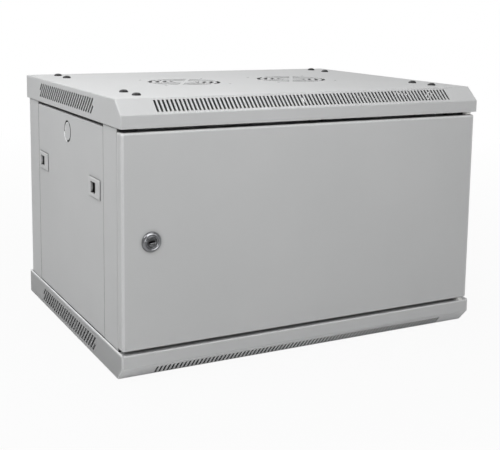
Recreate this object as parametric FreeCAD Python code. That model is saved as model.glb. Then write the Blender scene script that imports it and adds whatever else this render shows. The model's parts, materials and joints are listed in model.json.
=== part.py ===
"""Wall mount network cabinet, six height units, 570 wide and 450 deep, in millimetres.

The origin is the centre of the base's underside. +X is to the right, +Y to the back, +Z up.
The door is at the front (-Y) and is hinged at its right side.
"""
import FreeCAD, Part
import math
import os

# overall size and sheet
WIDTH = 570.0
DEPTH = 450.0
HEIGHT = 368.0
SHEET = 1.2
FOLD_RADIUS = 2.0

# roof and base covers
SKIRT = 36.5
ROOF_SLOPE_RUN = 21.5
ROOF_SLOPE_RISE = 19.5
BASE_SLOPE_RUN = 17.5
BASE_SLOPE_RISE = 18.5
LIP_FLANGE = 18.0

# vent slots in the covers
FRONT_SLOT_COUNT = 80
FRONT_SLOT_PITCH = 5.9
FRONT_SLOT_WIDTH = 2.6
ROOF_SLOT_LENGTH = 20.0
ROOF_SLOT_MARGIN = 4.5
BASE_SLOT_LENGTH = 16.0
BASE_SLOT_MARGIN = 2.2
SIDE_SLOT_PITCH = 10.0
SIDE_SLOT_COUNT = 25
SIDE_SLOT_WIDTH = 4.0
SIDE_BAND_HEIGHT = 20.5
SIDE_BAND_CENTRE = 17.8
SIDE_FIELD_MIDDLE = 10.0

# fan positions and cable entries
FAN_SPACING = 190.0
FAN_HOLE_SQUARE = 105.0
FAN_HOLE_RADIUS = 2.2
GRILLE_RADIUS = 56.0
GRILLE_RING_PITCH = 11.0
GRILLE_SLOT_WIDTH = 5.5
GRILLE_RIB = 6.0
ENTRY_WIDTH = 260.0
ENTRY_HEIGHT = 60.0
BASE_ENTRY_FROM_BACK = 85.0
REAR_ENTRY_Z = 100.0
ENTRY_OVERLAP = 12.0
EDGING_WALL = 3.0
EDGING_LIP = 2.0

# side frames
FRAME_SHEET = 1.5
FRAME_INSET = 1.7
FRONT_POST_SETBACK = 19.0
FRONT_POST_DEPTH = 52.0
REAR_POST_DEPTH = 52.0
REAR_OVERHANG = 12.0
POST_FRONT_FLANGE = 28.3
POST_INNER_FLANGE = 20.3
CORNER_PLATE_SHEET = 2.0
CORNER_PLATE_WIDTH = 58.0
CORNER_PLATE_DEPTH = 96.0
DEPTH_RAIL_HEIGHT = 30.8

# roof screws
SCREW_FROM_SIDE = 43.0
SCREW_PAIR_SPACING = 48.0
SCREW_PAIR_FROM_END = 70.5
SCREW_HEAD_RADIUS = 6.2
SCREW_CROWN_RADIUS = 3.6
SCREW_HEAD_HEIGHT = 3.6

# door and hinges
DOOR_LEFT_GAP = 1.0
DOOR_RIGHT_GAP = 5.0
DOOR_TOP_GAP = 4.5
DOOR_BOTTOM_GAP = 5.0
DOOR_DEPTH = 16.0
DOOR_HINGE_FLANGE = 11.0
DOOR_FOLD_RADIUS = 2.5
HINGE_FROM_EDGE = 8.0
HINGE_FROM_FRONT = 8.0
PIN_RADIUS = 3.0
PIN_FIT = 0.05
PIN_TRAVEL = 9.0
PIN_LEVER = 18.0
BUSH_RADIUS = 5.0
BUSH_FLANGE_RADIUS = 7.0
BUSH_FLANGE = 1.0
SPRING_WIRE = 0.9
SPRING_GAP = 0.35
BRACKET_WIDTH = 16.0
BRACKET_HEIGHT = 36.0
STIFFENER_WIDTH = 30.0
STIFFENER_DEPTH = 12.0
STIFFENER_FOOT = 10.0
STIFFENER_OFFSETS = (-100.0, 120.0)

# lock
LOCK_FROM_EDGE = 40.0
LOCK_COLLAR_RADIUS = 14.0
LOCK_COLLAR_HEIGHT = 4.2
LOCK_COLLAR_BEVEL = 1.8
LOCK_BODY_RADIUS = 9.5
LOCK_LENGTH = 22.0
BARREL_RADIUS = 7.0
BARREL_FIT = 0.06
LOCK_FIT = 0.1
KEY_SLOT_LENGTH = 10.0
KEY_SLOT_WIDTH = 2.4
KEY_SLOT_DEPTH = 9.0
CAM_REACH = 36.0
CAM_WIDTH = 14.0
CAM_SHEET = 2.5
LOCK_NUT_ACROSS = 24.0
LOCK_NUT_HEIGHT = 4.0

# lift-off side panels and their latches
PANEL_GAP = 1.0
PANEL_LIFT = 2.0
PANEL_TOP_GAP = 4.5
PANEL_FLANGE = 12.0
PANEL_TAB_INSET = 5.0
PANEL_TAB_LENGTH = 9.0
PANEL_TAB_WIDTH = 34.0
PANEL_TAB_FROM_END = 52.5
KNOCKOUT_RADIUS = 15.5
KNOCKOUT_DROP = 66.5
KNOCKOUT_GROOVE = 1.4
KNOCKOUT_DEPTH = 0.5
LATCH_FRONT_INSET = 34.0
LATCH_REAR_INSET = 30.0
LATCH_DROP = 129.0
BEZEL_LENGTH = 46.0
BEZEL_HEIGHT = 27.5
BEZEL_PROUD = 2.0
BEZEL_BEVEL = 1.3
FINGER_SLOT_LENGTH = 20.0
FINGER_SLOT_HEIGHT = 16.0
FINGER_SLOT_SHIFT = 3.0
LATCH_BODY_LENGTH = 38.0
LATCH_BODY_HEIGHT = 23.0
LATCH_BODY_DEPTH = 10.5
LATCH_WALL = 2.0
LATCH_TRAVEL = 7.0
SLIDER_LENGTH = 26.0
SLIDER_FIT = 0.3
TONGUE_HEIGHT = 12.0
TONGUE_SHEET = 3.0

# 19-inch rack rails
UNITS = 6
UNIT_HEIGHT = 44.45
RACK_HOLE_SPACING = 465.1
RACK_OPENING = 450.0
RACK_HOLE = 9.5
RACK_HOLE_OFFSETS = (6.35, 22.225, 38.1)
RACK_SHEET = 1.5
RACK_FLANGE = 16.5
RACK_WEB = 32.0
RACK_FACE_MARGIN = 12.0
RACK_END_GAP = 5.0
RACK_RUNNING_GAP = 0.3
FRONT_RACK_SETBACK = 75.0
REAR_RACK_SETBACK = 115.0
RACK_TRAVEL = 60.0
CLAMP_HEAD_ACROSS = 11.0
CLAMP_HEAD_HEIGHT = 3.5
CLAMP_NUT_ACROSS = 10.0
CLAMP_NUT_HEIGHT = 5.0
CLAMP_NECK = 5.8
CLAMP_FIT = 0.1
CLAMP_SLOT_HEIGHT = 7.0

# rear panel and wall mounting
REAR_PANEL_MARGIN = 8.0
REAR_PANEL_EDGE = 6.0
WALL_HOLE_RADIUS = 5.0
WALL_HOLE_SPACING_X = 480.0
WALL_HOLE_SPACING_Z = 250.0
EARTH_STUD_FROM_SIDE = 53.0
EARTH_STUD_FROM_BACK = 40.0
EARTH_STUD_RADIUS = 3.0
EARTH_STUD_LENGTH = 18.0

# places that follow from the sizes above
HALF_W = WIDTH / 2
FRONT = -DEPTH / 2
BACK = DEPTH / 2
ROOF_FLAT_MIDDLE = ROOF_SLOPE_RUN / 2
POST_X = HALF_W - FRAME_INSET
SCREW_X = HALF_W - SCREW_FROM_SIDE
SCREW_PAIR_OFFSET = BACK - SCREW_PAIR_FROM_END
FRONT_POST_Y = FRONT + FRONT_POST_SETBACK
FRONT_POST_BACK = FRONT_POST_Y + FRONT_POST_DEPTH
REAR_PANEL_Y = BACK - REAR_OVERHANG
REAR_POST_FRONT = REAR_PANEL_Y - REAR_POST_DEPTH
WEB_X = RACK_HOLE_SPACING / 2 + RACK_FLANGE / 2 + 0.7
RAIL_X = WEB_X + RACK_RUNNING_GAP
PLATE_TOP = HEIGHT - SHEET
PLATE_BOTTOM = SHEET
UPPER_RAIL_TOP = PLATE_TOP - CORNER_PLATE_SHEET
LOWER_RAIL_BOTTOM = PLATE_BOTTOM + CORNER_PLATE_SHEET
DOOR_X0 = -HALF_W + DOOR_LEFT_GAP
DOOR_X1 = HALF_W - DOOR_RIGHT_GAP
DOOR_Z0 = SKIRT + DOOR_BOTTOM_GAP
DOOR_Z1 = HEIGHT - SKIRT - DOOR_TOP_GAP
DOOR_BACK = FRONT + DOOR_DEPTH
HINGE_X = DOOR_X1 - HINGE_FROM_EDGE
HINGE_Y = FRONT + HINGE_FROM_FRONT
LOCK_X = DOOR_X0 + LOCK_FROM_EDGE
LOCK_Z = (DOOR_Z0 + DOOR_Z1) / 2
PANEL_X = HALF_W - 1.5
PANEL_Y0 = FRONT_POST_BACK + PANEL_GAP
PANEL_Y1 = REAR_POST_FRONT - PANEL_GAP
PANEL_Z0 = SKIRT + PANEL_LIFT
PANEL_Z1 = HEIGHT - SKIRT - PANEL_TOP_GAP
PANEL_TAB_OFFSET = (PANEL_Y1 - PANEL_Y0) / 2 - PANEL_TAB_FROM_END
LATCH_FRONT_Y = PANEL_Y0 + LATCH_FRONT_INSET
LATCH_REAR_Y = PANEL_Y1 - LATCH_REAR_INSET
LATCH_Z = HEIGHT - LATCH_DROP
KNOCKOUT_Z = HEIGHT - KNOCKOUT_DROP
RACK_Z = HEIGHT / 2
FRONT_RACK_Y = FRONT + FRONT_RACK_SETBACK
REAR_RACK_Y = BACK - REAR_RACK_SETBACK
BASE_ENTRY_Y = BACK - BASE_ENTRY_FROM_BACK
EARTH_STUD_X = -HALF_W + EARTH_STUD_FROM_SIDE
EARTH_STUD_Y = BACK - EARTH_STUD_FROM_BACK
SIDES = ("left", "right")


def vec(x, y, z):
    return FreeCAD.Vector(x, y, z)


def block(x0, x1, y0, y1, z0, z1):
    """A box between two corners, given in any order."""
    low = vec(min(x0, x1), min(y0, y1), min(z0, z1))
    return Part.makeBox(abs(x1 - x0), abs(y1 - y0), abs(z1 - z0), low)


def rod(radius, start, end):
    """A cylinder from one point to another."""
    line = end - start
    return Part.makeCylinder(radius, line.Length, start, line)


def prism(points, push):
    """A flat outline of 3-D points, pushed out along a vector."""
    return Part.Face(Part.makePolygon(points + points[:1])).extrude(push)


def hexagon(across, start, push):
    """A hexagonal bar that starts at a point and runs along a vector."""
    place = FreeCAD.Rotation(vec(0, 0, 1), push)
    corner = across / math.sqrt(3)
    points = []
    for step in range(6):
        angle = math.radians(60 * step)
        across_bar = vec(corner * math.cos(angle), corner * math.sin(angle), 0)
        points.append(start + place.multVec(across_bar))
    return prism(points, push)


def mirrored(shape):
    """The same piece for the other side of the cabinet."""
    return shape.mirror(vec(0, 0, 0), vec(1, 0, 0))


def on_side(shape, side):
    """A piece modelled on the left is kept there or mirrored to the right."""
    return shape if side == "left" else mirrored(shape)


def save(name, *solids):
    shape = solids[0] if len(solids) == 1 else Part.makeCompound(list(solids))
    if not shape.isValid():
        print("not valid:", name)
    shape.exportStep("parts/" + name + ".step")
    print(name, len(shape.Solids), "solids", round(shape.Volume / 1000.0, 2), "cm3")


def cabinet_interior():
    """The space inside the two covers, which trims what stands in it."""
    outline = [
        vec(0, FRONT + BASE_SLOPE_RUN, 0),
        vec(0, BACK, 0),
        vec(0, BACK, HEIGHT),
        vec(0, FRONT + ROOF_SLOPE_RUN, HEIGHT),
        vec(0, FRONT, HEIGHT - ROOF_SLOPE_RISE),
        vec(0, FRONT, BASE_SLOPE_RISE),
    ]
    wire = Part.makePolygon(outline + outline[:1])
    inner = Part.Face(wire).makeOffset2D(-SHEET, join=2)
    inner.translate(vec(-HALF_W + SHEET, 0, 0))
    return inner.extrude(vec(WIDTH - 2 * SHEET, 0, 0))


def cover_shell(run, rise):
    """A folded cover with its skirts hanging down from a top at Z 0."""
    outline = [
        vec(-HALF_W, FRONT, -SKIRT),
        vec(-HALF_W, FRONT, -rise),
        vec(-HALF_W, FRONT + run, 0),
        vec(-HALF_W, BACK, 0),
        vec(-HALF_W, BACK, -SKIRT),
    ]
    outer = prism(outline, vec(WIDTH, 0, 0))
    folds = [e for e in outer.Edges if max(v.Z for v in e.Vertexes) > -SKIRT + 1]
    outer = outer.makeFillet(FOLD_RADIUS, folds)
    deep = SKIRT + 5
    outline[0] = vec(-HALF_W, FRONT, -deep)
    outline[4] = vec(-HALF_W, BACK, -deep)
    inner = Part.Face(Part.makePolygon(outline + outline[:1])).makeOffset2D(-SHEET, join=2)
    inner.translate(vec(SHEET, 0, 0))
    shell = outer.cut(inner.extrude(vec(WIDTH - 2 * SHEET, 0, 0)))
    flange = block(-HALF_W + SHEET / 2, HALF_W - SHEET / 2, FRONT + SHEET / 2,
                   FRONT + LIP_FLANGE, -SKIRT, -SKIRT + SHEET)
    return shell.fuse(flange).removeSplitter()


def front_slots(run, rise, length, margin):
    """Cutters for the row of slots across the slope, which end at the margin from the flat."""
    far = math.hypot(run, rise) - margin
    angle = math.degrees(math.atan2(rise, run))
    cutters = []
    for index in range(FRONT_SLOT_COUNT):
        x = (index - (FRONT_SLOT_COUNT - 1) / 2) * FRONT_SLOT_PITCH
        slot = block(-FRONT_SLOT_WIDTH / 2, FRONT_SLOT_WIDTH / 2,
                     far - length, far, -3 * SHEET, 3 * SHEET)
        slot.rotate(vec(0, 0, 0), vec(1, 0, 0), angle)
        slot.translate(vec(x, FRONT, -rise))
        cutters.append(slot)
    return cutters


def side_slots(middle):
    """Cutters for the slanted slots in both skirts, their upper ends towards the door.

    The field ends in a lower half slot at the front and an upper half slot at the back.
    """
    half = SIDE_BAND_HEIGHT / 2
    start = SIDE_FIELD_MIDDLE - (SIDE_SLOT_COUNT + 1) * SIDE_SLOT_PITCH / 2
    cutters = []
    for index in range(-1, SIDE_SLOT_COUNT + 1):
        top = 0.0 if index < 0 else half
        bottom = 0.0 if index == SIDE_SLOT_COUNT else -half
        y = start + index * SIDE_SLOT_PITCH + half
        outline = [
            vec(-HALF_W - SHEET, y - top, middle + top),
            vec(-HALF_W - SHEET, y - top + SIDE_SLOT_WIDTH, middle + top),
            vec(-HALF_W - SHEET, y - bottom + SIDE_SLOT_WIDTH, middle + bottom),
            vec(-HALF_W - SHEET, y - bottom, middle + bottom),
        ]
        slot = prism(outline, vec(3 * SHEET, 0, 0))
        cutters.append(slot)
        cutters.append(mirrored(slot))
    return Part.makeCompound(cutters)


def screw_places():
    """X and Y of the eight screws of a cover: a pair over each corner plate."""
    places = []
    for x in (-SCREW_X, SCREW_X):
        for pair in (-SCREW_PAIR_OFFSET, SCREW_PAIR_OFFSET):
            for step in (-SCREW_PAIR_SPACING / 2, SCREW_PAIR_SPACING / 2):
                places.append((x, ROOF_FLAT_MIDDLE + pair + step))
    return places


def fan_grille(x, y):
    """Cutters for one fan position: rings of slots, parted by ribs, and four screw holes."""
    cutters = []
    for ring in range(4):
        outer = GRILLE_RADIUS - ring * GRILLE_RING_PITCH
        band = rod(outer, vec(x, y, -3 * SHEET), vec(x, y, SHEET))
        band = band.cut(rod(outer - GRILLE_SLOT_WIDTH, vec(x, y, -3 * SHEET), vec(x, y, SHEET)))
        for step in range(3):
            rib = block(-GRILLE_RIB / 2, GRILLE_RIB / 2, -2 * GRILLE_RADIUS, 2 * GRILLE_RADIUS,
                        -4 * SHEET, 2 * SHEET)
            rib.rotate(vec(0, 0, 0), vec(0, 0, 1), 30.0 + step * 60.0)
            rib.translate(vec(x, y, 0))
            band = band.cut(rib)
        cutters.extend(band.Solids)
    half = FAN_HOLE_SQUARE / 2
    for dx in (-half, half):
        for dy in (-half, half):
            cutters.append(rod(FAN_HOLE_RADIUS, vec(x + dx, y + dy, -3 * SHEET),
                               vec(x + dx, y + dy, SHEET)))
    return cutters


def hinge_hole():
    """Cutter for the hinge bush in the flange behind the front lip."""
    return rod(BUSH_RADIUS, vec(HINGE_X, HINGE_Y, -SKIRT - 1), vec(HINGE_X, HINGE_Y, -SKIRT + 2 * SHEET))


def make_covers():
    roof = cover_shell(ROOF_SLOPE_RUN, ROOF_SLOPE_RISE)
    cutters = front_slots(ROOF_SLOPE_RUN, ROOF_SLOPE_RISE, ROOF_SLOT_LENGTH, ROOF_SLOT_MARGIN)
    for x in (-FAN_SPACING / 2, FAN_SPACING / 2):
        cutters += fan_grille(x, ROOF_FLAT_MIDDLE)
    cutters.append(hinge_hole())
    roof = roof.cut(Part.makeCompound(cutters))
    roof.translate(vec(0, 0, HEIGHT))
    roof = roof.cut(side_slots(HEIGHT - SIDE_BAND_CENTRE))
    save("roof_cover", roof.Solids[0])

    base = cover_shell(BASE_SLOPE_RUN, BASE_SLOPE_RISE)
    cutters = front_slots(BASE_SLOPE_RUN, BASE_SLOPE_RISE, BASE_SLOT_LENGTH, BASE_SLOT_MARGIN)
    half = ENTRY_HEIGHT / 2
    cutters.append(block(-ENTRY_WIDTH / 2, ENTRY_WIDTH / 2, BASE_ENTRY_Y - half,
                         BASE_ENTRY_Y + half, -3 * SHEET, SHEET))
    cutters.append(hinge_hole())
    base = base.cut(Part.makeCompound(cutters)).mirror(vec(0, 0, 0), vec(0, 0, 1))
    base = base.cut(side_slots(SIDE_BAND_CENTRE))
    save("base_cover", base.Solids[0])


def make_roof_screws():
    """The heads of the eight screws that hold the roof to the corner plates."""
    heads = []
    for x, y in screw_places():
        heads.append(Part.makeCone(SCREW_HEAD_RADIUS, SCREW_CROWN_RADIUS, SCREW_HEAD_HEIGHT, vec(x, y, HEIGHT)))
    save("roof_screws", *heads)


def latch_window(y, z_half, x0, x1):
    """Cutter for a latch tongue's hole in a flange that faces along Y."""
    return block(-x0, -x1, y - 3 * FRAME_SHEET, y + 3 * FRAME_SHEET, LATCH_Z - z_half, LATCH_Z + z_half)


def tongue_x():
    """Outer and inner X of a latch tongue, as distances from the middle of the cabinet."""
    inner = PANEL_X - LATCH_BODY_DEPTH + LATCH_WALL
    return inner + TONGUE_SHEET, inner


def make_posts(inside):
    outer, inner = tongue_x()
    for side in SIDES:
        web = block(-POST_X, -POST_X + FRAME_SHEET, FRONT_POST_Y, FRONT_POST_BACK, 0, HEIGHT)
        front = block(-POST_X, -POST_X + POST_FRONT_FLANGE, FRONT_POST_Y,
                      FRONT_POST_Y + FRAME_SHEET, 0, HEIGHT)
        back = block(-POST_X, -POST_X + POST_INNER_FLANGE, FRONT_POST_BACK - FRAME_SHEET,
                     FRONT_POST_BACK, 0, HEIGHT)
        post = web.fuse([front, back]).removeSplitter().common(inside)
        post = post.cut(latch_window(FRONT_POST_BACK, TONGUE_HEIGHT / 2 + 2, outer + 1.5, inner - 1.5))
        save("front_post_" + side, on_side(post.Solids[0], side))

        web = block(-POST_X, -POST_X + FRAME_SHEET, REAR_POST_FRONT, REAR_PANEL_Y, 0, HEIGHT)
        front = block(-POST_X, -POST_X + POST_INNER_FLANGE, REAR_POST_FRONT,
                      REAR_POST_FRONT + FRAME_SHEET, 0, HEIGHT)
        back = block(-POST_X, -POST_X + POST_FRONT_FLANGE, REAR_PANEL_Y - FRAME_SHEET,
                     REAR_PANEL_Y, 0, HEIGHT)
        post = web.fuse([front, back]).removeSplitter().common(inside)
        post = post.cut(latch_window(REAR_POST_FRONT, TONGUE_HEIGHT / 2 + 2, outer + 1.5, inner - 1.5))
        save("rear_post_" + side, on_side(post.Solids[0], side))


def make_corner_plates():
    """Plates under the roof and on the base, welded to the posts, that take the cover screws."""
    x0 = -POST_X + FRAME_SHEET
    for side in SIDES:
        plates = []
        for pair in (-SCREW_PAIR_OFFSET, SCREW_PAIR_OFFSET):
            y = ROOF_FLAT_MIDDLE + pair
            y0 = y - CORNER_PLATE_DEPTH / 2
            y1 = min(y + CORNER_PLATE_DEPTH / 2, REAR_PANEL_Y - FRAME_SHEET)
            for z0 in (PLATE_BOTTOM, PLATE_TOP - CORNER_PLATE_SHEET):
                plate = block(x0, x0 + CORNER_PLATE_WIDTH, y0, y1, z0, z0 + CORNER_PLATE_SHEET)
                for end in (FRONT_POST_BACK - FRAME_SHEET, REAR_POST_FRONT):
                    plate = plate.cut(block(x0 - 1, -POST_X + POST_INNER_FLANGE, end,
                                            end + FRAME_SHEET, z0 - 1, z0 + 5))
                plates.append(on_side(plate.Solids[0], side))
        save("corner_plates_" + side, *plates)


def clamp_places():
    """Y of the clamp bolts of the front and the rear rack rail."""
    return {"front": FRONT_RACK_Y + RACK_WEB / 2, "rear": REAR_RACK_Y - RACK_WEB / 2}


def clamp_heights():
    """Z of the lower and the upper clamp bolt of a rack rail."""
    return (LOWER_RAIL_BOTTOM + DEPTH_RAIL_HEIGHT / 2, UPPER_RAIL_TOP - DEPTH_RAIL_HEIGHT / 2)


def depth_rail_slots(z):
    """Cutters for the long slots that the rack rails' clamp bolts slide in."""
    reach = CLAMP_SLOT_HEIGHT / 2
    places = clamp_places()
    spans = [(places["front"] - reach, places["front"] + RACK_TRAVEL + reach),
             (places["rear"] - RACK_TRAVEL - reach, places["rear"] + reach)]
    return [block(-RAIL_X - 5, -RAIL_X + 5, y0, y1, z - reach, z + reach) for y0, y1 in spans]


def make_depth_rails():
    outer = -POST_X + FRAME_SHEET
    y0 = FRONT_POST_BACK
    y1 = REAR_POST_FRONT
    low, high = clamp_heights()
    for side in SIDES:
        top = UPPER_RAIL_TOP
        web = block(-RAIL_X - FRAME_SHEET, -RAIL_X, y0, y1, top - DEPTH_RAIL_HEIGHT, top)
        shelf = block(outer, -RAIL_X, y0, y1, top - DEPTH_RAIL_HEIGHT,
                      top - DEPTH_RAIL_HEIGHT + FRAME_SHEET)
        rail = web.fuse(shelf).cut(Part.makeCompound(depth_rail_slots(high)))
        save("upper_depth_rail_" + side, on_side(rail.Solids[0], side))

        bottom = LOWER_RAIL_BOTTOM
        web = block(-RAIL_X - FRAME_SHEET, -RAIL_X, y0, y1, bottom, bottom + DEPTH_RAIL_HEIGHT)
        shelf = block(outer, -RAIL_X, y0, y1, bottom + DEPTH_RAIL_HEIGHT - FRAME_SHEET,
                      bottom + DEPTH_RAIL_HEIGHT)
        rail = web.fuse(shelf).cut(Part.makeCompound(depth_rail_slots(low)))
        for y in panel_tab_places():
            rail = rail.cut(block(-PANEL_X + PANEL_TAB_INSET - 0.8, -PANEL_X + PANEL_TAB_INSET + 5.5,
                                  y - PANEL_TAB_WIDTH / 2 - 2, y + PANEL_TAB_WIDTH / 2 + 2,
                                  bottom + DEPTH_RAIL_HEIGHT - 5, bottom + DEPTH_RAIL_HEIGHT + 5))
        save("lower_depth_rail_" + side, on_side(rail.Solids[0], side))


def panel_tab_places():
    middle = (PANEL_Y0 + PANEL_Y1) / 2
    return (middle - PANEL_TAB_OFFSET, middle + PANEL_TAB_OFFSET)


def rack_rail(face_y, inward):
    """A left rack rail. Its punched face is at face_y and its web runs along inward (+1 or -1)."""
    z0 = RACK_Z - UNITS * UNIT_HEIGHT / 2
    z1 = RACK_Z + UNITS * UNIT_HEIGHT / 2
    web = block(-WEB_X, -WEB_X + RACK_SHEET, face_y, face_y + inward * RACK_WEB,
                PLATE_BOTTOM + RACK_END_GAP, PLATE_TOP - RACK_END_GAP)
    face = block(-WEB_X, -WEB_X + RACK_FLANGE, face_y, face_y + inward * RACK_SHEET,
                 z0 - RACK_FACE_MARGIN, z1 + RACK_FACE_MARGIN)
    cutters = []
    for unit in range(UNITS):
        for offset in RACK_HOLE_OFFSETS:
            z = z0 + unit * UNIT_HEIGHT + offset
            x = -RACK_HOLE_SPACING / 2
            cutters.append(block(x - RACK_HOLE / 2, x + RACK_HOLE / 2, face_y - 5, face_y + 5,
                                 z - RACK_HOLE / 2, z + RACK_HOLE / 2))
    for z in clamp_heights():
        y = face_y + inward * RACK_WEB / 2
        half = CLAMP_NECK / 2 + CLAMP_FIT
        cutters.append(block(-WEB_X - 2, -WEB_X + 4, y - half, y + half, z - half, z + half))
    return web.fuse(face).removeSplitter().cut(Part.makeCompound(cutters))


def clamp_bolt(y, z):
    """A square-necked bolt through a rack rail's web and the depth rail's slot, with its nut."""
    inner = -WEB_X + RACK_SHEET
    outer = -RAIL_X - FRAME_SHEET - 0.2
    half = CLAMP_NECK / 2
    head = hexagon(CLAMP_HEAD_ACROSS, vec(inner, y, z), vec(CLAMP_HEAD_HEIGHT, 0, 0))
    neck = block(outer, inner, y - half, y + half, z - half, z + half)
    nut = hexagon(CLAMP_NUT_ACROSS, vec(outer, y, z), vec(-CLAMP_NUT_HEIGHT, 0, 0))
    return head.fuse([neck, nut])


def make_rack_rails():
    for side in SIDES:
        for end, face_y, inward in (("front", FRONT_RACK_Y, 1), ("rear", REAR_RACK_Y, -1)):
            rail = rack_rail(face_y, inward).Solids[0]
            save("rack_rail_" + end + "_" + side, on_side(rail, side))
            y = face_y + inward * RACK_WEB / 2
            bolts = [on_side(clamp_bolt(y, z), side) for z in clamp_heights()]
            save("rail_clamps_" + end + "_" + side, *bolts)


def make_rear():
    """The rear panel with its wall bolt holes, and the plate over its cable entry."""
    panel = block(-HALF_W + REAR_PANEL_MARGIN, HALF_W - REAR_PANEL_MARGIN, REAR_PANEL_Y,
                  REAR_PANEL_Y + SHEET, REAR_PANEL_EDGE, HEIGHT - REAR_PANEL_EDGE)
    cutters = [block(-ENTRY_WIDTH / 2, ENTRY_WIDTH / 2, REAR_PANEL_Y - 5, REAR_PANEL_Y + 5,
                     REAR_ENTRY_Z - ENTRY_HEIGHT / 2, REAR_ENTRY_Z + ENTRY_HEIGHT / 2)]
    for x in (-WALL_HOLE_SPACING_X / 2, WALL_HOLE_SPACING_X / 2):
        for z in (RACK_Z - WALL_HOLE_SPACING_Z / 2, RACK_Z + WALL_HOLE_SPACING_Z / 2):
            cutters.append(rod(WALL_HOLE_RADIUS, vec(x, REAR_PANEL_Y - 5, z), vec(x, REAR_PANEL_Y + 5, z)))
    save("rear_panel", panel.cut(Part.makeCompound(cutters)).Solids[0])
    plate_x = ENTRY_WIDTH / 2 + ENTRY_OVERLAP
    plate_z = ENTRY_HEIGHT / 2 + ENTRY_OVERLAP
    plate = block(-plate_x, plate_x, REAR_PANEL_Y + SHEET, REAR_PANEL_Y + 2 * SHEET,
                  REAR_ENTRY_Z - plate_z, REAR_ENTRY_Z + plate_z)
    corners = [e for e in plate.Edges if abs(e.Vertexes[0].Y - e.Vertexes[-1].Y) > SHEET / 2]
    save("rear_entry_plate", plate.makeChamfer(ENTRY_OVERLAP / 2, corners))


def make_base_fittings():
    """Rubber edging of the base's cable entry, and the earth stud with its nut on a corner plate."""
    half_x = ENTRY_WIDTH / 2
    half_y = ENTRY_HEIGHT / 2
    rim = block(-half_x, half_x, BASE_ENTRY_Y - half_y, BASE_ENTRY_Y + half_y, 0.3, SHEET)
    lip = block(-half_x - EDGING_WALL, half_x + EDGING_WALL, BASE_ENTRY_Y - half_y - EDGING_WALL,
                BASE_ENTRY_Y + half_y + EDGING_WALL, SHEET, SHEET + EDGING_LIP)
    hole = block(-half_x + EDGING_WALL, half_x - EDGING_WALL, BASE_ENTRY_Y - half_y + EDGING_WALL,
                 BASE_ENTRY_Y + half_y - EDGING_WALL, -5, 10)
    save("base_entry_edging", rim.fuse(lip).removeSplitter().cut(hole))
    seat = vec(EARTH_STUD_X, EARTH_STUD_Y, LOWER_RAIL_BOTTOM)
    stud = rod(EARTH_STUD_RADIUS, seat, seat + vec(0, 0, EARTH_STUD_LENGTH))
    nut = hexagon(CLAMP_NUT_ACROSS, seat, vec(0, 0, CLAMP_NUT_HEIGHT))
    save("earth_stud", stud.fuse(nut))


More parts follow.
